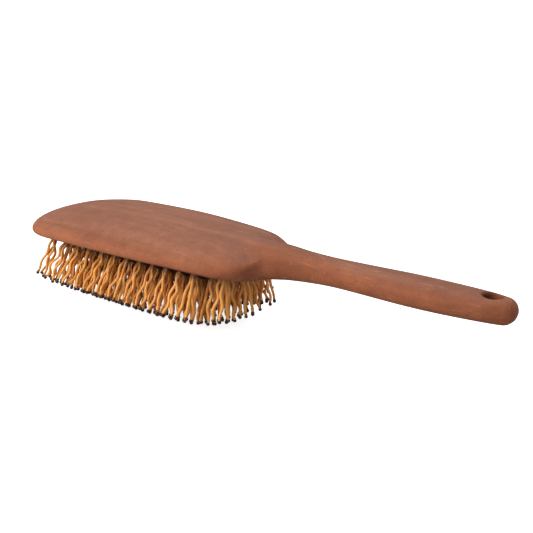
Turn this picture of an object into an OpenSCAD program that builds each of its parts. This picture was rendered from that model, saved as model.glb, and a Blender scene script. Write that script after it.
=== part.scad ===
// Wooden paddle brush with a sprung rubber cushion and tufts of wavy pins.
// Millimetres. X runs along the handle, with the head at -X and the handle at +X.
// Y runs across the head. Z is up, with the back of the brush up and the pins
// down, so the brush stands on the tips of its pins at z = 0.
// Lengths along the brush are measured as s, from the tip of the head.

/* [Body] */
// Overall length
body_len = 245; // [235:1:260]
// Width of the head at its widest
head_w = 76.8; // [76:0.2:84]
// Length of the head, up to where its shoulders meet the neck
head_len = 130.2; // [129:0.2:134]
// Thickness of the head along its middle
head_t = 12.6; // [11:0.1:15]
// How full the domed back is across the head, where 2 is an ellipse
back_n = 2.16; // [2.1:0.02:2.8]
// Radius of the hanging hole
hole_r = 4.0; // [2.5:0.1:4.5]
// Distance from the hole's axis to the end of the handle
hole_from_end = 10; // [9:0.5:16]

/* [Cushion] */
// Height of the cushion's dome below the rim
dome_h = 11.6; // [10.6:0.1:12.4]
// Thickness of the rubber membrane
skin_t = 1.4; // [1.2:0.1:1.6]
// Depth of the pocket in the head
pocket_d = 4.4; // [4.2:0.1:4.5]
// Gap between the moving pad and its fixed edge
edge_gap = 0.35; // [0.3:0.05:0.4]

/* [Tufts] */
// Distance between the tufts of one row
tuft_pitch = 8.12; // [8:0.01:8.3]
// Distance between rows
row_pitch = 7.7; // [7.5:0.1:7.9]
// Length of a pin, from the root block's face at the membrane to its ball
pin_len = 20.2; // [17:0.1:22]
// Thickness of a pin
pin_t = 1.35; // [1:0.05:1.4]
// Radius of the ball on a pin's end
ball_r = 0.9; // [0.75:0.05:1]
// Height of a pin's wave
wave_a = 0.65; // [0.3:0.05:0.8]
// How far the pins follow the dome's slope across the head, where 1 is square to it
lean = 0.76; // [0.6:0.04:0.88]

/* [Hidden] */
ROWS = 7;

wide_at = 26.5;    // where the head is widest
tip_n = 2.7;       // how square the head is at its tip
neck_n = 3.46;     // and at its shoulders
side_taper = 0.015;
edge_n = 2.15;     // how full the rounded lower edges are
edge_r = 2.9;      // how far those edges reach in under the head
waist = 2;         // height of the head's widest line above the rim
grip_n = 2.4;      // how full the back of the handle is
blend_r = 6;       // fillet between the shoulders and the neck
shoulder_r = 17.8; // how far from the shoulders the back starts to fall
shoulder_n = 1.6;  // and how full that fall is

// Half widths of the neck and handle, as [distance along, half width]
GRIP = [[100, 10.6], [120, 10.5], [130, 10], [139, 8.6], [148, 7.1], [160, 7.4], [178, 9.3], [200, 10.7], [220, 10.15], [234, 8.9], [245, 7]];
// Underside of the body, and its back along the middle, measured from the plane of the rim
UNDER = [[0, 0], [90, 0], [102, -0.4], [112, -1.2], [118, -2.2], [123, -3.1], [128, -4.1], [134, -3.9], [142, -2.9], [150, -2.1], [163, -1.05], [182, -0.5], [212, -0.2], [232, 0.3], [245, 0.5]];
BACK = [[0, head_t - 4.2], [25, head_t - 1.6], [64, head_t], [96, head_t - 0.7], [112, 11.9], [124, 11.6], [136, 11.6], [148, 11], [160, 10.6], [177, 10.6], [200, 11], [225, 11.1], [245, 10.9]];

pad_mid = 65;      // middle of the pad along the brush
pad_hl = 56;       // half length of the pad
pad_hw = 29.6;     // half width of the pad
tip_side = 7;      // how square the pad's outline is towards the tip
neck_side = 3.4;   // and towards the neck
edge_w = 1.2;      // width of the cushion's fixed edge
groove_w = 1;      // how far the edge's flange goes under the wood
groove_t = 2.1;    // thickness of that flange

first_s = 15;      // first tuft of the outer rows
block_x = 2.1;     // root block along the row
block_y = 2.5;     // root block across the row
block_h = 2.0;     // root block below the membrane
play_x = 0.35;     // room round the root in the membrane
play_y = 0.6;
flange_gap = 1.2;
flange_t = 0.8;

function clamp01(v) = max(0, min(1, v));
function frac(v) = v - floor(v);
function noise(a, b, c, k) = frac(sin(a * 127.1 + b * 311.7 + c * 74.7 + k * 53.3 + 346) * 43758.5453);

// A smooth curve through a table of points
function seg(x, T, i = 0) = (i >= len(T) - 2 || x < T[i + 1][0]) ? i : seg(x, T, i + 1);
function slope(T, i) = (i <= 0 || i >= len(T) - 1) ? 0 : (T[i + 1][1] - T[i - 1][1]) / (T[i + 1][0] - T[i - 1][0]);
function curve(x, T) =
    let (i = seg(x, T), h = T[i + 1][0] - T[i][0], t = clamp01((x - T[i][0]) / h))
    (2 * pow(t, 3) - 3 * t * t + 1) * T[i][1] + (pow(t, 3) - 2 * t * t + t) * h * slope(T, i)
    + (3 * t * t - 2 * pow(t, 3)) * T[i + 1][1] + (pow(t, 3) - t * t) * h * slope(T, i + 1);

// ---- outline and section of the wooden body ----
function head_half(s) =
    let (u = s < wide_at ? (wide_at - s) / wide_at : (s - wide_at) / (head_len - wide_at), n = s < wide_at ? tip_n : neck_n)
    u >= 1 ? 0 : head_w / 2 * pow(1 - pow(u, n), 1 / n) * (s < wide_at ? 1 : 1 - side_taper * sin(180 * u));
function grip_half(s) = curve(s, GRIP) * pow(1 - pow(1 - clamp01((body_len - s) / 14), 2.6), 1 / 2.6);
function soft_max(a, b, k) = let (h = clamp01(0.5 + 0.5 * (a - b) / k)) b * (1 - h) + a * h + k * h * (1 - h);
function half_w(s) = max(2.2, s < 100 ? head_half(s) : soft_max(head_half(s), grip_half(s), blend_r));
function end_round(s) = max(0.2, pow(1 - pow(1 - clamp01(s / 8.5), 2.2), 1 / 2.2) * pow(1 - pow(1 - clamp01((body_len - s) / 4.7), 2.2), 1 / 2.2));
function spread(c, p) = sign(c) * pow(abs(c), p);
// 0 in the head, 1 in the handle
function grip_part(s) = let (t = clamp01((s - 112) / 30)) t * t * (3 - 2 * t);

// 1 over the head, falling to 0 at the shoulders
function shoulder(s) = pow(1 - pow(1 - clamp01((head_len + 0.5 - s) / shoulder_r), shoulder_n), 1 / shoulder_n);
// Height of the back at y: the head's dome, with the neck rising out of it
function back_z(s, y, w, rise, n) =
    let (
        q = min(1, abs(y) / w), v = min(1, abs(y) / (s > head_len ? w : min(w, grip_half(s)))), f = shoulder(s),
        head = rise * f * pow(1 - pow(q, n), 1 / n), neck = s > 95 ? rise * pow(1 - pow(v, grip_n), 1 / grip_n) : 0
    )
    soft_max(head, neck, max(0.001, 12 * f * (1 - f) * (1 - pow(q, 6))));

// One ring of points round the body: over the back from the far side to the
// near side, then along the underside with its rounded edges.
function ring(s) =
    let (
        w = half_w(s), g = grip_part(s), lo = curve(s, UNDER), hi = curve(s, BACK),
        mid = ring_mid(s), e = end_round(s), drop = (mid - lo) * e,
        n = back_n * (1 - g) + grip_n * g, r = min(0.8 * w, edge_r * (1 - g) + 7 * g),
        pts = concat(
            [for (a = [0:9:180]) let (y = w * spread(cos(a), 2 / n)) [y, back_z(s, y, w, (hi - mid) * e, n)]],
            [for (a = [22.5:22.5:90]) [r - w - r * pow(max(0, cos(a)), 2 / edge_n), -drop * pow(sin(a), 2 / edge_n)]],
            [for (k = [-0.55, 0, 0.55]) [k * (w - r), -drop]],
            [for (a = [90:-22.5:22.5]) [w - r + r * pow(max(0, cos(a)), 2 / edge_n), -drop * pow(sin(a), 2 / edge_n)]]
        )
    )
    [for (p = pts) [s - body_len / 2, p[0], rim_z + mid + p[1]]];
function middle(s) = [s - body_len / 2, 0, rim_z + ring_mid(s)];
function ring_mid(s) = let (g = grip_part(s)) curve(s, UNDER) + waist * (1 - g) + (curve(s, BACK) - curve(s, UNDER)) / 2 * g;

// Where the rings stand: close together at the ends and the shoulders
HEAD_AT = [0, 0.3, 0.9, 1.8, 3, 4.5, 6.5, 9, 12.5, 17, 22, 28, 36, 46, 57, 68, 79, 88, 96, 102, 107, 111];
NECK_AT = [-13.5, -11, -8.8, -7, -5.5, -4.2, -3, -1.8, -0.6, 0.6, 2.2, 4.5, 7.5, 11, 15, 20];
GRIP_AT = [0.24, 0.32, 0.41, 0.51, 0.61, 0.71, 0.8, 0.87, 0.92, 0.948, 0.966, 0.978, 0.986, 0.992, 0.9965, 1];
STATIONS = concat(HEAD_AT, [for (d = NECK_AT) head_len + d], [for (g = GRIP_AT) head_len + g * (body_len - head_len)]);

// ---- the cushion's dome ----
function pad_a(s) = (s - pad_mid) / pad_hl;
function pad_b(y) = y / pad_hw;
function pad_n(c) = c < 0 ? tip_side : neck_side;
function pad_u(s, y) = let (n = pad_n(s - pad_mid)) pow(pow(abs(pad_a(s)), n) + pow(abs(pad_b(y)), n), 1 / n);
function drop_n(s) = s < pad_mid ? 10 : 5;
function drop(s) = let (a = min(1, abs(pad_a(s)))) 1 - 0.04 * a * a - 0.96 * pow(a, drop_n(s));
function dome(s, y) = dome_h * max(0, 1 - pow(min(1, abs(pad_b(y))), 2)) * drop(s) * (1 - pow(min(1, pad_u(s, y)), 40));
// the slope that the tufts follow, before the drop at the pad's very edge
function dome_in(s, y) = dome_h * (1 - pow(abs(pad_b(y)), 2)) * drop(s);
// along the brush the tufts fan out, most of all at the tip
function lean_s(s) = max(-0.2, min(0.06, 0.0045 * (s - 74)));
function lean_y(s, y) = -lean * (dome_in(s, y + 0.5) - dome_in(s, y - 0.5));

// ---- the tufts: [s, y] of each one in row j, where row 0 is on the -Y side ----
function row_y(j) = (j - (ROWS - 1) / 2) * row_pitch;
function in_pad(s, y) = pad_u(s, y) <= (s < pad_mid ? 0.955 : 0.93);
// tufts stand a little closer at the neck end
function tuft_s(i, j) = let (s = first_s + tuft_pitch * (i + (j % 2) / 2)) s - 0.3 * max(0, s - 110);
function row_tufts(j) = [for (i = [-1:14]) let (s = tuft_s(i, j), y = row_y(j)) if (in_pad(s, y)) [s, y]];
function tuft_z(t) = -dome(t[0], t[1]);
// turns that point a tuft's own -Z along its lean
function turn_y(t) = -atan(lean_s(t[0]));
function turn_x(t) = atan(lean_y(t[0], t[1]) * cos(turn_y(t)));

// ---- the pins: four to a tuft, each with its own splay, wave and facing ----
PINS = [[-1, -1], [1, -1], [-1, 1], [1, 1]];
function pin_at(k) = [PINS[k][0] * 0.5, PINS[k][1] * 0.62];
function pin_tilt(j, i, k) = [
    PINS[k][1] * 4.6 + (noise(j, i, k, 1) - 0.5) * 3.2,
    -PINS[k][0] * 4.4 + (noise(j, i, k, 2) - 0.5) * 2.8];
function pin_turn(j, i, k) = noise(j, i, k, 3) * 360;
function wave_len(j, i, k) = 8.8 + 2.6 * noise(j, i, k, 4);
function wave_x(j, i, k, t) =
    let (l = wave_len(j, i, k), p = noise(j, i, k, 5) * 360, a = wave_a * (0.75 + 0.5 * noise(j, i, k, 6)))
    a * min(1, t / 4) * (sin(360 * t / l + p) - 0.35 * sin(p));
function rot_x(v, a) = [v[0], v[1] * cos(a) - v[2] * sin(a), v[1] * sin(a) + v[2] * cos(a)];
function rot_y(v, a) = [v[0] * cos(a) + v[2] * sin(a), v[1], -v[0] * sin(a) + v[2] * cos(a)];
function rot_z(v, a) = [v[0] * cos(a) - v[1] * sin(a), v[0] * sin(a) + v[1] * cos(a), v[2]];
// height of a ball's middle below the rim
function ball_z(j, i, k) =
    let (t = row_tufts(j)[i], o = pin_at(k), b = pin_tilt(j, i, k),
        v = rot_y(rot_x(rot_z([wave_x(j, i, k, pin_len), 0, -pin_len - 0.5], pin_turn(j, i, k)), b[0]), b[1]) + [o[0], o[1], 0],
        w = rot_y(rot_x(v, turn_x(t)), turn_y(t)))
    tuft_z(t) + w[2];
rim_z = ball_r - min([for (j = [0:ROWS - 1]) for (i = [0:len(row_tufts(j)) - 1]) for (k = [0:3]) ball_z(j, i, k)]);

// Rounded outline of the pad, grown by g
function outline(g, m = 72) = [for (i = [0:m - 1]) let (a = i * 360 / m)
    [pad_mid - body_len / 2 + (pad_hl + g) * spread(cos(a), 2 / pad_n(cos(a))), (pad_hw + g) * spread(sin(a), 2 / pad_n(cos(a)))]];

module at_tuft(t) translate([t[0] - body_len / 2, t[1], rim_z + tuft_z(t)]) rotate([turn_x(t), turn_y(t), 0]) children();
module at_pin(j, i, k) translate([pin_at(k)[0], pin_at(k)[1], 0]) rotate([pin_tilt(j, i, k)[0], pin_tilt(j, i, k)[1], 0]) rotate([0, 0, pin_turn(j, i, k)]) children();

module prism(g, z0, z1) translate([0, 0, rim_z + z0]) linear_extrude(height = z1 - z0) polygon(outline(g));

// Head, neck and handle in one piece, with the pocket, its groove and the hole
module wooden_body() color([0.66, 0.41, 0.31]) {
    n = len(ring(50));
    m = len(STATIONS);
    difference() {
        polyhedron(
            points = concat([for (s = STATIONS) for (p = ring(s)) p], [middle(0), middle(body_len)]),
            faces = concat(
                [for (i = [0:n - 1]) [m * n, i, (i + 1) % n]],
                [for (a = [0:m - 2]) for (i = [0:n - 1]) [a * n + i, (a + 1) * n + i, (a + 1) * n + (i + 1) % n]],
                [for (a = [0:m - 2]) for (i = [0:n - 1]) [a * n + i, (a + 1) * n + (i + 1) % n, a * n + (i + 1) % n]],
                [for (i = [0:n - 1]) [m * n + 1, (m - 1) * n + (i + 1) % n, (m - 1) * n + i]]
            ));
        prism(edge_gap + edge_w, -8, pocket_d);
        prism(edge_gap + edge_w + groove_w, pocket_d - groove_t, pocket_d);
        translate([body_len / 2 - hole_from_end, 0, rim_z - 5]) cylinder(r = hole_r, h = 30, $fn = 64);
        // softened mouths of the hole
        translate([body_len / 2 - hole_from_end, 0, rim_z + curve(body_len - hole_from_end, BACK) - 1.3]) cylinder(r1 = hole_r, r2 = hole_r + 1.5, h = 1.5, $fn = 64);
        translate([body_len / 2 - hole_from_end, 0, rim_z + curve(body_len - hole_from_end, UNDER) - 0.2]) cylinder(r1 = hole_r + 1.5, r2 = hole_r, h = 1.5, $fn = 64);
    }
}

// The cushion's fixed edge, with the flange that sits in the groove
module cushion_edge() color([0.06, 0.05, 0.05]) difference() {
    union() {
        prism(edge_gap + edge_w, -0.3, pocket_d);
        prism(edge_gap + edge_w + groove_w, pocket_d - groove_t, pocket_d);
    }
    prism(edge_gap, -2, pocket_d + 1);
}

// The domed membrane, with one window for each tuft
LEVELS = [0.2, 0.4, 0.57, 0.71, 0.82, 0.9, 0.96, 1];
function low(p) = [p[0] + pad_mid - body_len / 2, p[1], rim_z - 0.3 - dome(p[0] + pad_mid, p[1])];
module cushion_pad() color([0.07, 0.06, 0.06]) {
    m = 40;
    r = len(LEVELS);
    pts = [for (g = LEVELS) for (i = [0:m - 1]) let (a = i * 360 / m)
        [pad_hl * g * spread(cos(a), 2 / (2 + (pad_n(cos(a)) - 2) * g)), pad_hw * g * spread(sin(a), 2 / (2 + (pad_n(cos(a)) - 2) * g))]];
    difference() {
        polyhedron(
            points = concat([low([0, 0]), low([0, 0]) + [0, 0, skin_t]], [for (p = pts) low(p)], [for (p = pts) low(p) + [0, 0, skin_t]]),
            faces = concat(
                [for (i = [0:m - 1]) [0, 2 + i, 2 + (i + 1) % m]],
                [for (i = [0:m - 1]) [1, 2 + m * r + (i + 1) % m, 2 + m * r + i]],
                [for (g = [0:r - 2]) for (i = [0:m - 1]) [2 + g * m + i, 2 + (g + 1) * m + i, 2 + (g + 1) * m + (i + 1) % m]],
                [for (g = [0:r - 2]) for (i = [0:m - 1]) [2 + g * m + i, 2 + (g + 1) * m + (i + 1) % m, 2 + g * m + (i + 1) % m]],
                [for (g = [0:r - 2]) for (i = [0:m - 1]) [2 + m * r + g * m + i, 2 + m * r + (g + 1) * m + (i + 1) % m, 2 + m * r + (g + 1) * m + i]],
                [for (g = [0:r - 2]) for (i = [0:m - 1]) [2 + m * r + g * m + i, 2 + m * r + g * m + (i + 1) % m, 2 + m * r + (g + 1) * m + (i + 1) % m]],
                [for (i = [0:m - 1]) [2 + (r - 1) * m + i, 2 + m * r + (r - 1) * m + i, 2 + m * r + (r - 1) * m + (i + 1) % m]],
                [for (i = [0:m - 1]) [2 + (r - 1) * m + i, 2 + m * r + (r - 1) * m + (i + 1) % m, 2 + (r - 1) * m + (i + 1) % m]]
            ));
        for (j = [0:ROWS - 1]) for (t = row_tufts(j)) at_tuft(t)
            hull() cube([block_x + 2 * play_x, block_y + 2 * play_y, 9], center = true);
    }
}

// One moulded tuft: flange, root block and four wavy pins
module tuft(j, i) at_tuft(row_tufts(j)[i]) {
    top = skin_t + flange_gap;
    translate([-block_x / 2, -block_y / 2, -block_h]) cube([block_x, block_y, block_h + top + 0.4]);
    translate([-block_x / 2 - 0.6, -block_y / 2 - 1, top]) cube([block_x + 1.2, block_y + 2, flange_t]);
    for (k = [0:3]) at_pin(j, i, k) rotate([90, 0, 0]) linear_extrude(height = pin_t, center = true) polygon(pin_side(j, i, k));
}
function pin_side(j, i, k, n = 8) =
    let (c = [for (q = [0:n]) let (t = 1 + (pin_len - 1) * q / n, d = (wave_x(j, i, k, t + 0.05) - wave_x(j, i, k, t - 0.05)) / 0.1)
        [wave_x(j, i, k, t), -t, pin_t / 2 * sqrt(1 + d * d)]])
    concat([for (q = [0:n]) [c[q][0] + c[q][2], c[q][1]]], [for (q = [n:-1:0]) [c[q][0] - c[q][2], c[q][1]]]);
module tuft_row(j) color([0.84, 0.52, 0.24]) for (i = [0:len(row_tufts(j)) - 1]) tuft(j, i);

// The balls on the pins' ends, each flat where the pin's end meets it
module ball_row(j) color([0.16, 0.07, 0.06]) for (i = [0:len(row_tufts(j)) - 1]) for (k = [0:3])
    at_tuft(row_tufts(j)[i]) at_pin(j, i, k) translate([wave_x(j, i, k, pin_len), 0, -pin_len]) difference() {
        translate([0, 0, -0.5]) sphere(r = ball_r, $fn = 32);
        translate([-2, -2, 0]) cube([4, 4, 2]);
    }

wooden_body();
cushion_edge();
cushion_pad();
tuft_row(0);  // pin_tufts_row_1
tuft_row(1);  // pin_tufts_row_2
tuft_row(2);  // pin_tufts_row_3
tuft_row(3);  // pin_tufts_row_4
tuft_row(4);  // pin_tufts_row_5
tuft_row(5);  // pin_tufts_row_6
tuft_row(6);  // pin_tufts_row_7
ball_row(0);  // ball_tips_row_1
ball_row(1);  // ball_tips_row_2
ball_row(2);  // ball_tips_row_3
ball_row(3);  // ball_tips_row_4
ball_row(4);  // ball_tips_row_5
ball_row(5);  // ball_tips_row_6
ball_row(6);  // ball_tips_row_7
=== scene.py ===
"""Paddle brush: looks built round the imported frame. Metres, the CAD's own frame. Lengths below named like the part's source are in millimetres."""

import math

import bpy
import numpy as np
from mathutils import Matrix, Vector


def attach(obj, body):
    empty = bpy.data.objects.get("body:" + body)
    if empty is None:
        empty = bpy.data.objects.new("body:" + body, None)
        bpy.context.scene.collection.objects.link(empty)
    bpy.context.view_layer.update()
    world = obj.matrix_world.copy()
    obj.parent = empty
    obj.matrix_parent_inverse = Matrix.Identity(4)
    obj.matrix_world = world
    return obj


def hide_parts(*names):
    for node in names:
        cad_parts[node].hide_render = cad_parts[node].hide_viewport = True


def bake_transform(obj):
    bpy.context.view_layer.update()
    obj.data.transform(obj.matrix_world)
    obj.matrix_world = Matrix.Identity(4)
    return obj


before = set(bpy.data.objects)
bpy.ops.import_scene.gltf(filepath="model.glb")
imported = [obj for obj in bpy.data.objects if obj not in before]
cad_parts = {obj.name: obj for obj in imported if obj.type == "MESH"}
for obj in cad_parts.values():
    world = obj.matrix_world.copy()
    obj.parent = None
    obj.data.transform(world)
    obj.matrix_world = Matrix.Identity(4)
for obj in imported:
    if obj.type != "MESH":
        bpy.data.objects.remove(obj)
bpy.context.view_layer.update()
MM = 0.001
scene = bpy.context.scene

# ---------------------------------------------------------------- the part's own numbers
BODY_LEN, HEAD_W, HEAD_LEN, HEAD_T, BACK_N = 245.0, 76.8, 130.2, 12.6, 2.16
HOLE_R, HOLE_END = 4.0, 10.0
DOME_H, POCKET_D, EDGE_GAP = 11.6, 4.4, 0.35
TUFT_PITCH, ROW_PITCH, PIN_LEN, PIN_T, BALL_R = 8.12, 7.7, 20.2, 1.35, 0.9
WAVE_A, LEAN = 0.65, 0.76
ROWS, WIDE_AT, TIP_N, NECK_N, SIDE_TAPER = 7, 26.5, 2.7, 3.46, 0.015
EDGE_N, EDGE_R, WAIST, GRIP_N, BLEND_R = 2.15, 2.9, 2.0, 2.4, 6.0
SHOULDER_R, SHOULDER_N = 17.8, 1.6
GRIP = [[100, 10.6], [120, 10.5], [130, 10], [139, 8.6], [148, 7.1], [160, 7.4], [178, 9.3], [200, 10.7], [220, 10.15], [234, 8.9], [245, 7]]
UNDER = [[0, 0], [90, 0], [102, -0.4], [112, -1.2], [118, -2.2], [123, -3.1], [128, -4.1], [134, -3.9], [142, -2.9], [150, -2.1], [163, -1.05], [182, -0.5], [212, -0.2], [232, 0.3], [245, 0.5]]
BACK = [[0, HEAD_T - 4.2], [25, HEAD_T - 1.6], [64, HEAD_T], [96, HEAD_T - 0.7], [112, 11.9], [124, 11.6], [136, 11.6], [148, 11], [160, 10.6], [177, 10.6], [200, 11], [225, 11.1], [245, 10.9]]
PAD_MID, PAD_HL, PAD_HW, TIP_SIDE, NECK_SIDE = 65.0, 56.0, 29.6, 7.0, 3.4
EDGE_W = 1.2
FIRST_S = 15.0
BLOCK_X, BLOCK_Y, BLOCK_H = 2.1, 2.5, 2.0


def sd(a):
    return math.sin(math.radians(a))


def cd(a):
    return math.cos(math.radians(a))


def noise(a, b, c, k):
    v = sd(a * 127.1 + b * 311.7 + c * 74.7 + k * 53.3 + 346) * 43758.5453
    return v - math.floor(v)


def clamp01(v):
    return max(0.0, min(1.0, v))


def spread(c, p):
    return math.copysign(abs(c) ** p, c)


def curve(x, table):
    i = 0
    while i < len(table) - 2 and x >= table[i + 1][0]:
        i += 1

    def slope(j):
        if j <= 0 or j >= len(table) - 1:
            return 0
        return (table[j + 1][1] - table[j - 1][1]) / (table[j + 1][0] - table[j - 1][0])

    h = table[i + 1][0] - table[i][0]
    t = clamp01((x - table[i][0]) / h)
    return (
        (2 * t**3 - 3 * t * t + 1) * table[i][1]
        + (t**3 - 2 * t * t + t) * h * slope(i)
        + (3 * t * t - 2 * t**3) * table[i + 1][1]
        + (t**3 - t * t) * h * slope(i + 1)
    )


def head_half(s):
    if s < WIDE_AT:
        u, n = (WIDE_AT - s) / WIDE_AT, TIP_N
    else:
        u, n = (s - WIDE_AT) / (HEAD_LEN - WIDE_AT), NECK_N
    if u >= 1:
        return 0.0
    return HEAD_W / 2 * (1 - u**n) ** (1 / n) * (1 if s < WIDE_AT else 1 - SIDE_TAPER * sd(180 * u))


def grip_half(s):
    return curve(s, GRIP) * (1 - (1 - clamp01((BODY_LEN - s) / 14)) ** 2.6) ** (1 / 2.6)


def soft_max(a, b, k):
    h = clamp01(0.5 + 0.5 * (a - b) / k)
    return b * (1 - h) + a * h + k * h * (1 - h)


def half_w(s):
    return max(2.2, head_half(s) if s < 100 else soft_max(head_half(s), grip_half(s), BLEND_R))


def end_round(s):
    a = (1 - (1 - clamp01(s / 8.5)) ** 2.2) ** (1 / 2.2)
    b = (1 - (1 - clamp01((BODY_LEN - s) / 4.7)) ** 2.2) ** (1 / 2.2)
    return max(0.2, a * b)


def grip_part(s):
    t = clamp01((s - 112) / 30)
    return t * t * (3 - 2 * t)


def ring_mid(s):
    g = grip_part(s)
    return curve(s, UNDER) + WAIST * (1 - g) + (curve(s, BACK) - curve(s, UNDER)) / 2 * g


def shoulder(s):
    return (1 - (1 - clamp01((HEAD_LEN + 0.5 - s) / SHOULDER_R)) ** SHOULDER_N) ** (1 / SHOULDER_N)


def back_z(s, y, w, rise, n):
    q = min(1, abs(y) / w)
    v = min(1, abs(y) / (w if s > HEAD_LEN else min(w, grip_half(s))))
    f = shoulder(s)
    head = rise * f * (1 - q**n) ** (1 / n)
    neck = rise * (1 - v**GRIP_N) ** (1 / GRIP_N) if s > 95 else 0
    return soft_max(head, neck, max(0.001, 12 * f * (1 - f) * (1 - q**6)))


def pad_a(s):
    return (s - PAD_MID) / PAD_HL


def pad_b(y):
    return y / PAD_HW


def pad_n(c):
    return TIP_SIDE if c < 0 else NECK_SIDE


def pad_u(s, y):
    n = pad_n(s - PAD_MID)
    return (abs(pad_a(s)) ** n + abs(pad_b(y)) ** n) ** (1 / n)


def drop_n(s):
    return 10 if s < PAD_MID else 5


def drop(s):
    a = min(1, abs(pad_a(s)))
    return 1 - 0.04 * a * a - 0.96 * a ** drop_n(s)


def dome_in(s, y):
    return DOME_H * (1 - abs(pad_b(y)) ** 2) * drop(s)


def dome(s, y):
    return DOME_H * max(0, 1 - min(1, abs(pad_b(y))) ** 2) * drop(s) * (1 - min(1, pad_u(s, y)) ** 40)


def lean_s(s):
    return max(-0.2, min(0.06, 0.0045 * (s - 74)))


def lean_y(s, y):
    return -LEAN * (dome_in(s, y + 0.5) - dome_in(s, y - 0.5))


def row_y(j):
    return (j - (ROWS - 1) / 2) * ROW_PITCH


def in_pad(s, y):
    return pad_u(s, y) <= (0.955 if s < PAD_MID else 0.93)


def tuft_s(i, j):
    s = FIRST_S + TUFT_PITCH * (i + (j % 2) / 2)
    return s - 0.3 * max(0, s - 110)


def row_tufts(j):
    y = row_y(j)
    return [(tuft_s(i, j), y) for i in range(-1, 15) if in_pad(tuft_s(i, j), y)]


def turn_y(t):
    return -math.degrees(math.atan(lean_s(t[0])))


def turn_x(t):
    return math.degrees(math.atan(lean_y(*t) * cd(turn_y(t))))


PINS = [(-1, -1), (1, -1), (-1, 1), (1, 1)]


def pin_tilt(j, i, k):
    return (
        PINS[k][1] * 4.6 + (noise(j, i, k, 1) - 0.5) * 3.2,
        -PINS[k][0] * 4.4 + (noise(j, i, k, 2) - 0.5) * 2.8,
    )


def wave_x(j, i, k, t):
    l = 8.8 + 2.6 * noise(j, i, k, 4)
    p = noise(j, i, k, 5) * 360
    a = WAVE_A * (0.75 + 0.5 * noise(j, i, k, 6))
    return a * min(1, max(0, t) / 4) * (sd(360 * t / l + p) - 0.35 * sd(p))


def rot(axis, a):
    c, s = cd(a), sd(a)
    if axis == "x":
        return np.array([[1, 0, 0], [0, c, -s], [0, s, c]])
    if axis == "y":
        return np.array([[c, 0, s], [0, 1, 0], [-s, 0, c]])
    return np.array([[c, -s, 0], [s, c, 0], [0, 0, 1]])


def pin_frame(j, i, k, t):
    """rotation and start of pin k of tuft i in row j, below the rim"""
    turn = rot("y", turn_y(t)) @ rot("x", turn_x(t))
    b = pin_tilt(j, i, k)
    own = rot("y", b[1]) @ rot("x", b[0]) @ rot("z", noise(j, i, k, 3) * 360)
    at = np.array([t[0] - BODY_LEN / 2, t[1], -dome(*t)]) + turn @ np.array([PINS[k][0] * 0.5, PINS[k][1] * 0.62, 0])
    return turn @ own, at


LAYOUT = [row_tufts(j) for j in range(ROWS)]
RIM_Z = BALL_R - min(
    (pin_frame(j, i, k, t)[1] + pin_frame(j, i, k, t)[0] @ np.array([wave_x(j, i, k, PIN_LEN), 0, -PIN_LEN - 0.5]))[2]
    for j in range(ROWS)
    for i, t in enumerate(LAYOUT[j])
    for k in range(4)
)


# ---------------------------------------------------------------- small helpers
def new_mesh(name, verts, faces, smooth=True):
    me = bpy.data.meshes.new(name)
    me.from_pydata([tuple(v) for v in verts], [], faces)
    me.update()
    if smooth:
        me.polygons.foreach_set("use_smooth", [True] * len(me.polygons))
    ob = bpy.data.objects.new(name, me)
    scene.collection.objects.link(ob)
    return ob


def apply_modifiers(ob):
    dg = bpy.context.evaluated_depsgraph_get()
    me = bpy.data.meshes.new_from_object(ob.evaluated_get(dg))
    ob.modifiers.clear()
    ob.data = me
    return ob


def pad_point(a, grow=0.0, level=1.0):
    """point of the pad's outline at angle a, in the frame's x and y; rounder towards the middle"""
    e = 2 / (2 + (pad_n(cd(a)) - 2) * level)
    return PAD_MID - BODY_LEN / 2 + (PAD_HL + grow) * level * spread(cd(a), e), (PAD_HW + grow) * level * spread(sd(a), e)


def outline(g, m):
    return [pad_point(i * 360 / m, g) for i in range(m)]


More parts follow.
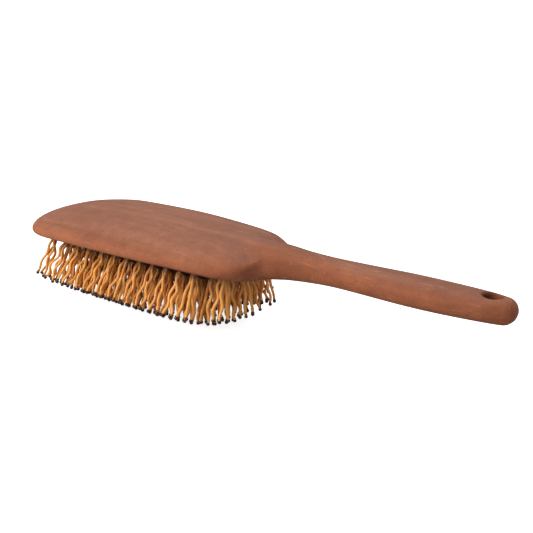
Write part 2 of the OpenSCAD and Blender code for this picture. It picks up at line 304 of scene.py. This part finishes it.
class Nodes:
    """short way to build a node material"""

    def __init__(self, name):
        self.mat = bpy.data.materials.new(name)
        self.mat.use_nodes = True
        self.t = self.mat.node_tree
        self.t.nodes.clear()
        self.out = self.t.nodes.new("ShaderNodeOutputMaterial")
        self.bsdf = self.t.nodes.new("ShaderNodeBsdfPrincipled")
        self.t.links.new(self.bsdf.outputs[0], self.out.inputs[0])

    def add(self, kind, **props):
        n = self.t.nodes.new(kind)
        for k, v in props.items():
            setattr(n, k, v)
        return n

    def link(self, a, b):
        self.t.links.new(a, b)

    def coords(self, scale=(1, 1, 1)):
        c = self.add("ShaderNodeTexCoord")
        m = self.add("ShaderNodeMapping")
        m.inputs["Scale"].default_value = scale
        self.link(c.outputs["Object"], m.inputs["Vector"])
        return m.outputs[0]

    def noise(self, vec, scale, detail=4, rough=0.5, distort=0.0):
        n = self.add("ShaderNodeTexNoise")
        n.inputs["Scale"].default_value = scale
        n.inputs["Detail"].default_value = detail
        n.inputs["Roughness"].default_value = rough
        n.inputs["Distortion"].default_value = distort
        self.link(vec, n.inputs["Vector"])
        return n.outputs["Fac"]

    def range(self, v, a, b, c=0.0, d=1.0):
        n = self.add("ShaderNodeMapRange")
        n.inputs["From Min"].default_value = a
        n.inputs["From Max"].default_value = b
        n.inputs["To Min"].default_value = c
        n.inputs["To Max"].default_value = d
        self.link(v, n.inputs["Value"])
        return n.outputs[0]

    def math(self, op, a, b=0.0):
        n = self.add("ShaderNodeMath", operation=op)
        for sock, v in ((n.inputs[0], a), (n.inputs[1], b)):
            if isinstance(v, (float, int)):
                sock.default_value = v
            else:
                self.link(v, sock)
        return n.outputs[0]

    def bump(self, height, strength, distance, normal=None):
        n = self.add("ShaderNodeBump")
        n.inputs["Strength"].default_value = strength
        n.inputs["Distance"].default_value = distance
        self.link(height, n.inputs["Height"])
        if normal is not None:
            self.link(normal, n.inputs["Normal"])
        return n.outputs[0]


def mix_rgba(n, fac, a, b, mode="MIX"):
    """a colour mix node, by socket place, because its sockets share names"""
    m = n.add("ShaderNodeMix", data_type="RGBA", blend_type=mode)
    sock = {"f": m.inputs[0], "a": m.inputs[6], "b": m.inputs[7]}
    for key, v in (("f", fac), ("a", a), ("b", b)):
        if isinstance(v, (float, int)):
            sock[key].default_value = v
        elif isinstance(v, (tuple, list)):
            sock[key].default_value = (*v, 1)
        else:
            n.link(v, sock[key])
    return m.outputs[2]


# ---------------------------------------------------------------- materials
def wood_material():
    n = Nodes("wood_oiled")
    plain = n.coords()
    streak = n.noise(n.coords((7, 110, 110)), 1.0, 7, 0.62, 0.5)
    mottle = n.noise(plain, 150, 6, 0.6, 0.3)
    broad = n.noise(n.coords((14, 38, 38)), 1.0, 3, 0.5)
    fine = n.noise(n.coords((240, 1500, 1500)), 1.0, 3, 0.6)
    speck = n.noise(plain, 1250, 3, 0.65)
    tone = n.math("ADD", n.math("MULTIPLY", n.range(streak, 0.32, 0.68), 0.38), n.math("MULTIPLY", n.range(mottle, 0.33, 0.67), 0.34))
    tone = n.math("ADD", tone, n.math("MULTIPLY", n.range(broad, 0.35, 0.65), 0.28))
    base = mix_rgba(n, tone, (0.215, 0.060, 0.025), (0.450, 0.152, 0.070))
    # painted reflection: greyer where the back faces up, for the sheen of the overhead light on the top
    geo = n.add("ShaderNodeNewGeometry")
    xyz = n.add("ShaderNodeSeparateXYZ")
    n.link(geo.outputs["Normal"], xyz.inputs[0])
    up = n.range(xyz.outputs["Z"], 0.60, 0.985)
    painted_top_sheen = mix_rgba(n, tone, (0.185, 0.069, 0.040), (0.352, 0.148, 0.088))
    base = mix_rgba(n, n.math("MULTIPLY", up, 0.85), base, painted_top_sheen)
    # painted shade: towards the handle's end the wood is darker, for the key light falling off along the handle
    place = n.add("ShaderNodeSeparateXYZ")
    n.link(plain, place.inputs[0])
    handle_falloff_shade = n.range(place.outputs["X"], 0.060, 0.120, 0.0, 0.30)
    base = mix_rgba(n, handle_falloff_shade, base, (0.205, 0.065, 0.028))
    # painted shade: a little darker where the neck begins, for the shade where the head runs into the neck
    neck = n.math("MULTIPLY", n.range(place.outputs["X"], -0.004, 0.014), n.range(place.outputs["X"], 0.050, 0.024))
    base = mix_rgba(n, n.math("MULTIPLY", neck, 0.36), base, (0.185, 0.055, 0.023))
    # fine dark and light specks
    base = mix_rgba(n, n.range(speck, 0.56, 0.72, 0, 0.42), base, (0.150, 0.052, 0.026))
    base = mix_rgba(n, n.range(speck, 0.42, 0.28, 0, 0.2), base, (0.560, 0.270, 0.170))
    # short dark pores along the grain
    v = n.add("ShaderNodeTexVoronoi", feature="F1")
    v.inputs["Scale"].default_value = 1.0
    n.link(n.coords((150, 560, 560)), v.inputs["Vector"])
    pore = n.range(v.outputs["Distance"], 0.05, 0.24, 1, 0)
    pore = n.math("MULTIPLY", pore, n.range(n.noise(plain, 260, 2), 0.48, 0.6))
    base = mix_rgba(n, n.math("MULTIPLY", pore, 0.6), base, (0.120, 0.040, 0.020))
    # a few pale scuffs along the body and across it
    along = n.range(n.noise(n.coords((45, 520, 420)), 1.0, 2, 0.5, 1.4), 0.66, 0.73)
    across = n.range(n.noise(n.coords((420, 90, 160)), 1.0, 2, 0.5, 1.8), 0.69, 0.75)
    base = mix_rgba(n, n.math("MULTIPLY", n.math("MAXIMUM", along, across), 0.25), base, (0.600, 0.320, 0.215))
    # painted shade: the hanging hole's wall is dark on the side that faces the end, the wall that lies in shadow
    flat = n.add("ShaderNodeCombineXYZ")
    n.link(n.math("SUBTRACT", place.outputs["X"], (BODY_LEN / 2 - HOLE_END) * MM), flat.inputs[0])
    n.link(place.outputs["Y"], flat.inputs[1])
    far = n.add("ShaderNodeVectorMath", operation="LENGTH")
    n.link(flat.outputs[0], far.inputs[0])
    hole_wall_shade = n.math("MULTIPLY", n.range(far.outputs["Value"], 0.0041, 0.0053, 0.85, 0), n.range(place.outputs["X"], 0.1132, 0.1096))
    base = mix_rgba(n, hole_wall_shade, base, (0.080, 0.026, 0.012))
    n.link(base, n.bsdf.inputs["Base Color"])
    n.link(n.range(mottle, 0.3, 0.7, 0.56, 0.74), n.bsdf.inputs["Roughness"])
    n.bsdf.inputs["Specular IOR Level"].default_value = 0.22
    h = n.math("ADD", n.math("MULTIPLY", fine, 0.45), n.math("MULTIPLY", streak, 0.45))
    h = n.math("ADD", h, n.math("MULTIPLY", speck, 0.25))
    h = n.math("SUBTRACT", h, n.math("MULTIPLY", pore, 0.6))
    n.link(n.bump(h, 0.3, 0.0005), n.bsdf.inputs["Normal"])
    return n.mat


def rubber_material():
    n = Nodes("cushion_rubber_black")
    plain = n.coords()
    m = n.noise(plain, 200, 4)
    n.link(mix_rgba(n, n.range(m, 0.35, 0.65), (0.0035, 0.0024, 0.0024), (0.0075, 0.0055, 0.0050)), n.bsdf.inputs["Base Color"])
    n.link(n.range(m, 0.3, 0.7, 0.50, 0.64), n.bsdf.inputs["Roughness"])
    n.bsdf.inputs["Specular IOR Level"].default_value = 0.12
    n.link(n.bump(n.noise(plain, 2600, 2), 0.12, 0.0002), n.bsdf.inputs["Normal"])
    return n.mat


def amber_material():
    n = Nodes("pin_amber_plastic")
    a = n.add("ShaderNodeAttribute", attribute_name="tone")
    col = n.add("ShaderNodeSeparateColor")
    n.link(a.outputs["Color"], col.inputs[0])
    # tone holds each pin's random tone, the painted shade at its roots and its row's painted light and shade
    shade, root_brown_and_shade, row_light_shade_mask = col.outputs[0], col.outputs[1], col.outputs[2]
    streak = n.noise(n.coords((1, 1, 0.35)), 900, 3)
    lit = mix_rgba(n, shade, (0.600, 0.195, 0.034), (0.950, 0.430, 0.115))
    # the plastic is yellower in long patches
    gold = n.noise(n.coords((1, 1, 0.3)), 330, 2)
    lit = mix_rgba(n, n.range(gold, 0.46, 0.62, 0, 0.6), lit, (0.900, 0.420, 0.032))
    lit = mix_rgba(n, n.range(streak, 0.5, 0.75, 0, 0.35), lit, (0.920, 0.520, 0.200))
    # painted light and shade: the outer rows, more open to the light, and the pins towards the neck are paler, for
    # light through the plastic, and the inner rows browner, for the shade between the rows
    lit = mix_rgba(n, n.range(row_light_shade_mask, 0.5, 1.0, 0, 0.6), lit, (0.980, 0.470, 0.115))
    lit = mix_rgba(n, n.range(row_light_shade_mask, 0.5, 0.25, 0, 0.5), lit, (0.270, 0.078, 0.018))
    # painted shade: darker towards the pins' roots, where the wood shades them; the root blocks get the same dark
    # brown, partly their own colour and partly painted shade
    lit = mix_rgba(n, root_brown_and_shade, lit, (0.210, 0.062, 0.016))
    n.link(lit, n.bsdf.inputs["Base Color"])
    n.link(n.range(streak, 0.3, 0.7, 0.22, 0.38), n.bsdf.inputs["Roughness"])
    n.bsdf.inputs["Specular IOR Level"].default_value = 0.5
    n.bsdf.inputs["Subsurface Weight"].default_value = 0.3
    n.bsdf.inputs["Subsurface Radius"].default_value = (1.0, 0.40, 0.08)
    n.bsdf.inputs["Subsurface Scale"].default_value = 0.0012
    n.bsdf.inputs["IOR"].default_value = 1.48
    n.link(n.bump(streak, 0.12, 0.0001), n.bsdf.inputs["Normal"])
    return n.mat


def tip_material():
    n = Nodes("tip_dark_gloss")
    a = n.add("ShaderNodeAttribute", attribute_name="tone")
    col = n.add("ShaderNodeSeparateColor")
    n.link(a.outputs["Color"], col.inputs[0])
    m = n.noise(n.coords(), 900, 2)
    base = mix_rgba(n, n.range(col.outputs[0], 0.35, 0.8), (0.005, 0.005, 0.006), (0.095, 0.020, 0.014))
    base = mix_rgba(n, n.range(m, 0.45, 0.7, 0, 0.5), base, (0.080, 0.022, 0.014))
    n.link(base, n.bsdf.inputs["Base Color"])
    n.link(n.range(m, 0.3, 0.7, 0.24, 0.36), n.bsdf.inputs["Roughness"])
    n.bsdf.inputs["Coat Weight"].default_value = 0.25
    n.link(n.bump(m, 0.15, 0.00015), n.bsdf.inputs["Normal"])
    return n.mat


WOOD, RUBBER, AMBER, TIP = wood_material(), rubber_material(), amber_material(), tip_material()


# ---------------------------------------------------------------- wooden body
def body_ring(s, arc=88, edge=12, flat=8):
    w, g, lo, hi, e = half_w(s), grip_part(s), curve(s, UNDER), curve(s, BACK), end_round(s)
    mid = ring_mid(s)
    top, low = mid + (hi - mid) * e, mid - (mid - lo) * e
    n, r, k = BACK_N * (1 - g) + GRIP_N * g, min(0.8 * w, EDGE_R * (1 - g) + 7 * g), 2 / EDGE_N
    pts = []
    for q in range(arc + 1):
        a = q * 180 / arc
        y = w * spread(cd(a), 2 / n)
        pts.append((y, mid + back_z(s, y, w, top - mid, n)))
    for q in range(1, edge + 1):
        a = q * 90 / edge
        pts.append((r - w - r * max(0, cd(a)) ** k, mid - (mid - low) * sd(a) ** k))
    for q in range(1, flat):
        pts.append(((w - r) * (2 * q / flat - 1), low))
    for q in range(edge, 0, -1):
        a = q * 90 / edge
        pts.append((w - r + r * max(0, cd(a)) ** k, mid - (mid - low) * sd(a) ** k))
    return [((s - BODY_LEN / 2) * MM, y * MM, (RIM_Z + z) * MM) for y, z in pts]


def build_body():
    ss = [0.0, 0.006, 0.02, 0.05, 0.1, 0.17, 0.26]
    while ss[-1] < BODY_LEN:
        s = ss[-1]
        gap = min(s, abs(BODY_LEN - s))
        step = 0.1 + 0.13 * gap if gap < 10 else (0.5 if abs(s - 124) < 18 else 1.5)
        ss.append(s + min(step, 1.5))
    ss[-1] = BODY_LEN
    if ss[-1] - ss[-2] < 0.05:
        ss.pop(-2)
    rings = np.array([body_ring(s) for s in ss])
    n = len(rings[0])
    # soften the valley where the head runs into the neck
    at_s = np.array(ss)
    gap = np.gradient(at_s)
    soft = rings.copy()
    for r, s in enumerate(ss):
        w = clamp01(1.3 * (1 - abs(s - 127) / 16))
        if w > 0:
            g = np.exp(-(((at_s - s) / 2.4) ** 2)) * gap
            mean = np.tensordot(g / g.sum(), rings, 1)
            w = w * w * (3 - 2 * w)
            soft[r, :, 1:] = (1 - w) * rings[r, :, 1:] + w * mean[:, 1:]
    rings = [[tuple(v) for v in r] for r in soft.tolist()]
    verts = [p for r in rings for p in r]
    faces = []
    for a in range(len(ss) - 1):
        for i in range(n):
            faces.append((a * n + i, a * n + (i + 1) % n, (a + 1) * n + (i + 1) % n, (a + 1) * n + i))
    for s, first, turn in ((0.0, 0, 1), (BODY_LEN, (len(ss) - 1) * n, -1)):
        c = len(verts)
        verts.append(((s - BODY_LEN / 2) * MM, 0, (RIM_Z + ring_mid(s)) * MM))
        for i in range(n):
            tri = (c, first + (i + 1) % n, first + i)
            faces.append(tri if turn == 1 else tri[::-1])
    ob = new_mesh("brush_body_wood", verts, faces)

    # pocket for the cushion
    m = 160
    pts = outline(EDGE_GAP + EDGE_W, m)
    lo, hi = (RIM_Z - 8) * MM, (RIM_Z + POCKET_D) * MM
    pv = [(x * MM, y * MM, lo) for x, y in pts] + [(x * MM, y * MM, hi) for x, y in pts]
    pf = [tuple(range(m - 1, -1, -1)), tuple(range(m, 2 * m))] + [(i, (i + 1) % m, m + (i + 1) % m, m + i) for i in range(m)]
    pocket = new_mesh("cut_pocket", pv, pf, False)

    # hanging hole with softened mouths
    s_hole = BODY_LEN - HOLE_END
    zt = RIM_Z + curve(s_hole, BACK)
    zb = RIM_Z + curve(s_hole, UNDER)
    prof = [(7.6, zb - 3.0), (7.2, zb - 0.6)]
    for q in range(0, 9):
        a = q / 8 * 90
        prof.append((HOLE_R + 1.9 - 1.9 * sd(a), zb + 1.9 - 1.9 * cd(a) - 0.25))
    for q in range(0, 9):
        a = q / 8 * 90
        prof.append((HOLE_R + 1.7 - 1.7 * cd(a), zt - 1.7 + 1.7 * sd(a) + 0.12))
    prof += [(6.6, zt + 0.6), (7.2, zt + 3.0)]
    seg = 96
    hv, hf = [], []
    for r, z in prof:
        for q in range(seg):
            a = q * 360 / seg
            hv.append(((s_hole - BODY_LEN / 2 + r * cd(a)) * MM, r * sd(a) * MM, z * MM))
    for b in range(len(prof) - 1):
        for q in range(seg):
            hf.append((b * seg + q, b * seg + (q + 1) % seg, (b + 1) * seg + (q + 1) % seg, (b + 1) * seg + q))
    hf.append(tuple(range(seg - 1, -1, -1)))
    hf.append(tuple(range((len(prof) - 1) * seg, len(prof) * seg)))
    hole = new_mesh("cut_hole", hv, hf, False)
    for cutter in (pocket, hole):
        mod = ob.modifiers.new("cut", "BOOLEAN")
        mod.operation = "DIFFERENCE"
        mod.object = cutter
        mod.solver = "EXACT"
    apply_modifiers(ob)
    for cutter in (pocket, hole):
        bpy.data.objects.remove(cutter)
    ob.data.materials.clear()
    ob.data.materials.append(WOOD)
    ob.data.polygons.foreach_set("material_index", [0] * len(ob.data.polygons))
    bpy.context.view_layer.objects.active = ob
    ob.select_set(True)
    bpy.ops.object.shade_smooth_by_angle(angle=math.radians(38))
    ob.select_set(False)
    return ob


body = build_body()
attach(body, "brush_body")
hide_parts("wooden_body")


# ---------------------------------------------------------------- cushion
def build_cushion():
    m = 300
    tufts = [t for row in LAYOUT for t in row]
    T = np.array(tufts)
    levels = list(np.linspace(0.02, 0.88, 72)) + list(np.linspace(0.886, 1.0, 24))
    verts = [((PAD_MID - BODY_LEN / 2) * MM, 0, (RIM_Z - 0.3 - DOME_H) * MM)]

    def dimple(s, y):
        d2 = ((T[:, 0] - s) / 1.15) ** 2 + ((T[:, 1] - y) / 1.25) ** 2
        d = math.sqrt(d2.min())
        return 0.42 * math.exp(-((d / 2.3) ** 2)) - 0.30 * math.exp(-(((d - 1.9) / 0.7) ** 2))

    for g in levels:
        for i in range(m):
            x, y = pad_point(i * 360 / m, 0, g)
            s = x + BODY_LEN / 2
            z = -0.3 - dome(s, y) + dimple(s, y) * clamp01((1 - g) * 12)
            verts.append((x * MM, y * MM, (RIM_Z + z) * MM))
    # outwards: the fixed edge, rolling up into the pocket
    for grow, z in ((0.12, -0.34), (0.4, -0.38), (0.75, -0.34), (1.05, -0.2), (1.3, 0.05), (1.45, 0.45), (1.5, 1.2), (1.5, 2.6)):
        for i in range(m):
            x, y = pad_point(i * 360 / m, grow)
            verts.append((x * MM, y * MM, (RIM_Z + z) * MM))
    r = len(levels) + 8
    faces = [(0, 1 + (i + 1) % m, 1 + i) for i in range(m)]
    for g in range(r - 1):
        for i in range(m):
            faces.append((1 + g * m + i, 1 + g * m + (i + 1) % m, 1 + (g + 1) * m + (i + 1) % m, 1 + (g + 1) * m + i))
    ob = new_mesh("cushion_membrane", verts, faces)
    ob.data.materials.append(RUBBER)
    return ob


cushion = build_cushion()
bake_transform(cushion)
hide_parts("cushion_pad", "cushion_edge")


# ---------------------------------------------------------------- tufts
def rounded_block(w, d, z0, z1, r=0.35):
    """verts and faces of a block with rounded upright edges and a softened lower end, in a tuft's own frame"""
    ring = []
    for cx, cy, a0 in ((1, 1, 0), (-1, 1, 90), (-1, -1, 180), (1, -1, 270)):
        for q in range(4):
            a = a0 + q * 30
            ring.append((cx * (w / 2 - r) + r * cd(a), cy * (d / 2 - r) + r * sd(a)))
    n = len(ring)
    levels = [(z0, 1.0), (z1 + 0.35, 1.0), (z1 + 0.1, 0.94), (z1, 0.8)]
    verts = [(x * g, y * g, z) for z, g in levels for x, y in ring]
    faces = []
    for b in range(len(levels) - 1):
        for i in range(n):
            faces.append((b * n + i, (b + 1) * n + i, (b + 1) * n + (i + 1) % n, b * n + (i + 1) % n))
    faces.append(tuple((len(levels) - 1) * n + i for i in range(n - 1, -1, -1)))
    return verts, faces


def build_row(j):
    verts, faces, tone = [], [], []
    bverts, bfaces, btone = [], [], []
    SIDES, STEPS = 10, 40
    for i, t in enumerate(LAYOUT[j]):
        turn = rot("y", turn_y(t)) @ rot("x", turn_x(t))
        at = np.array([t[0] - BODY_LEN / 2, t[1], -dome(*t)])
        bv, bf = rounded_block(BLOCK_X, BLOCK_Y, 0.6, -BLOCK_H)
        o = len(verts)
        verts += [(at + turn @ np.array(v)) for v in bv]
        faces += [tuple(o + q for q in f) for f in bf]
        # tone for the root blocks: the dark root colour, partly their own brown and partly painted shade under the
        # wood
        tone += [(0.5, 0.9, 0.5, 1)] * len(bv)
        for k in range(4):
            R, start = pin_frame(j, i, k, t)
            shade = noise(j, i, k, 7)
            # painted light and shade per row: paler towards the neck and in the outer rows, darker in the inner rows
            end = clamp01((t[0] - 88) / 20)
            row_painted_light_and_shade = 0.5 + 0.5 * end + (0.35 if j in (0, 6) else 0) - (0.25 * (1 - end) if 1 < j < 5 else 0)
            o = len(verts)
            for q in range(STEPS + 1):
                u = 0.6 + (PIN_LEN - 0.6) * q / STEPS
                dx = (wave_x(j, i, k, u + 0.05) - wave_x(j, i, k, u - 0.05)) / 0.1
                tangent = np.array([dx, 0, -1.0])
                tangent /= np.linalg.norm(tangent)
                side = np.array([-tangent[2], 0, tangent[0]])
                rad = PIN_T / 2 * (1.04 - 0.10 * q / STEPS)
                c = np.array([wave_x(j, i, k, u), 0, -u])
                for h in range(SIDES):
                    a = h * 360 / SIDES
                    p = c + rad * (side * cd(a) + np.array([0, 1.0, 0]) * sd(a))
                    verts.append(start + R @ p)
                    # tone: random tone, painted root shade, the row's painted light and shade
                    tone.append((shade, max(clamp01((3.4 - u) / 1.8) * 0.75, clamp01((9.5 - u) / 8) * 0.5), row_painted_light_and_shade, 1))
            for q in range(STEPS):
                for h in range(SIDES):
                    faces.append((o + q * SIDES + h, o + q * SIDES + (h + 1) % SIDES, o + (q + 1) * SIDES + (h + 1) % SIDES, o + (q + 1) * SIDES + h))
            faces.append(tuple(o + STEPS * SIDES + h for h in range(SIDES)))
            # tip: a ball with a short collar up the pin
            o = len(bverts)
            bx = wave_x(j, i, k, PIN_LEN)
            size = 0.93 + 0.07 * noise(j, i, k, 8)
            prof = [(0.56, 1.35), (0.60, 1.0)]
            for q in range(1, 10):
                a = 62 - q * 152 / 9.5
                prof.append((BALL_R * size * cd(a), BALL_R * size * sd(a)))
            seg = 14
            shade = noise(j, i, k, 9)
            for r, z in prof:
                for h in range(seg):
                    a = h * 360 / seg
                    bverts.append(start + R @ np.array([bx + r * cd(a), r * sd(a), -PIN_LEN - 0.5 + z]))
                    btone.append((shade, 0, 0, 1))
            bverts.append(start + R @ np.array([bx, 0, -PIN_LEN - 0.5 - BALL_R * size]))
            btone.append((shade, 0, 0, 1))
            for b in range(len(prof) - 1):
                for h in range(seg):
                    bfaces.append((o + b * seg + h, o + (b + 1) * seg + h, o + (b + 1) * seg + (h + 1) % seg, o + b * seg + (h + 1) % seg))
            last = o + (len(prof) - 1) * seg
            for h in range(seg):
                bfaces.append((last + h, o + len(prof) * seg, last + (h + 1) % seg))
    lift = np.array([0, 0, RIM_Z])
    for name, vs, fs, tn, mat, node, slot in (
        (f"pin_tufts_{j + 1}", verts, faces, tone, AMBER, f"pin_tufts_row_{j + 1}", "pin_amber"),
        (f"ball_tips_{j + 1}", bverts, bfaces, btone, TIP, f"ball_tips_row_{j + 1}", "tip_dark"),
    ):
        ob = new_mesh(name, [(np.array(v) + lift) * MM for v in vs], fs)
        at = ob.data.color_attributes.new("tone", "FLOAT_COLOR", "POINT")
        at.data.foreach_set("color", [c for p in tn for c in p])
        ob.data.materials.append(mat)
        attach(ob, f"row_{j + 1}")
        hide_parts(node)


for j in range(ROWS):
    build_row(j)

# ---------------------------------------------------------------- stage, light and camera
FLOOR_GLOW, WORLD_LIGHT = 0.8, 0.5
bpy.ops.mesh.primitive_plane_add(size=30, location=(0, 0, -0.0002))
floor = bpy.context.object
floor.name = "floor"
n = Nodes("floor_white")
path = n.add("ShaderNodeLightPath")
cam_ray = path.outputs["Is Camera Ray"]
cloud = n.range(n.noise(n.coords(), 3, 3), 0.3, 0.7, 0.985, 1.0)
pale = n.add("ShaderNodeCombineColor")
level = n.math("MULTIPLY", n.range(cam_ray, 0, 1, 0.42, 0.93), cloud)
for q in range(3):
    n.link(level, pale.inputs[q])
n.link(pale.outputs[0], n.bsdf.inputs["Base Color"])
n.bsdf.inputs["Roughness"].default_value = 0.9
n.bsdf.inputs["Specular IOR Level"].default_value = 0.1
n.bsdf.inputs["Emission Color"].default_value = (1, 1, 1, 1)
n.link(n.math("MULTIPLY", cam_ray, FLOOR_GLOW), n.bsdf.inputs["Emission Strength"])
floor.data.materials.append(n.mat)

world = bpy.data.worlds.new("studio")
scene.world = world
world.use_nodes = True
wt = world.node_tree
bg = wt.nodes["Background"]
bg.inputs["Color"].default_value = (1, 1, 1, 1)
lp = wt.nodes.new("ShaderNodeLightPath")
strength = wt.nodes.new("ShaderNodeMapRange")
strength.inputs["To Min"].default_value = WORLD_LIGHT
strength.inputs["To Max"].default_value = 1.0
wt.links.new(lp.outputs["Is Camera Ray"], strength.inputs["Value"])
wt.links.new(strength.outputs[0], bg.inputs["Strength"])
scene.view_settings.view_transform = "Standard"
scene.view_settings.look = "None"


def area(name, at, target, size, power, colour=(1, 1, 1)):
    light = bpy.data.lights.new(name, "AREA")
    light.shape = "RECTANGLE"
    light.size, light.size_y = size
    light.energy = power
    light.color = colour
    ob = bpy.data.objects.new(name, light)
    ob.location = at
    ob.rotation_euler = (Vector(target) - Vector(at)).to_track_quat("-Z", "Y").to_euler()
    scene.collection.objects.link(ob)
    return ob


area("key", (-0.35, -0.9, 0.55), (-0.02, 0, 0.03), (0.7, 0.5), 9.0, (1.0, 0.97, 0.93))
area("top", (0.1, 0.5, 1.1), (0, 0, 0.03), (0.9, 0.9), 7.0, (0.95, 0.97, 1.0))

psi, eps, roll = math.radians(36.1), math.radians(16.54), math.radians(2.33)
fwd = Vector((-math.sin(psi) * math.cos(eps), math.cos(psi) * math.cos(eps), -math.sin(eps)))
right = Vector((math.cos(psi), math.sin(psi), 0))
up = right.cross(fwd)
r2 = right * math.cos(roll) + up * math.sin(roll)
u2 = -right * math.sin(roll) + up * math.cos(roll)
cam_data = bpy.data.cameras.new("camera")
cam = bpy.data.objects.new("camera", cam_data)
scene.collection.objects.link(cam)
m = Matrix((r2, u2, -fwd)).transposed().to_4x4()
m.translation = Vector((257.73, -347.41, RIM_Z + 127.46)) * MM
cam.matrix_world = m
cam_data.sensor_width = 36
cam_data.lens = 67.756
cam_data.clip_start = 0.01
cam_data.clip_end = 100
scene.camera = cam
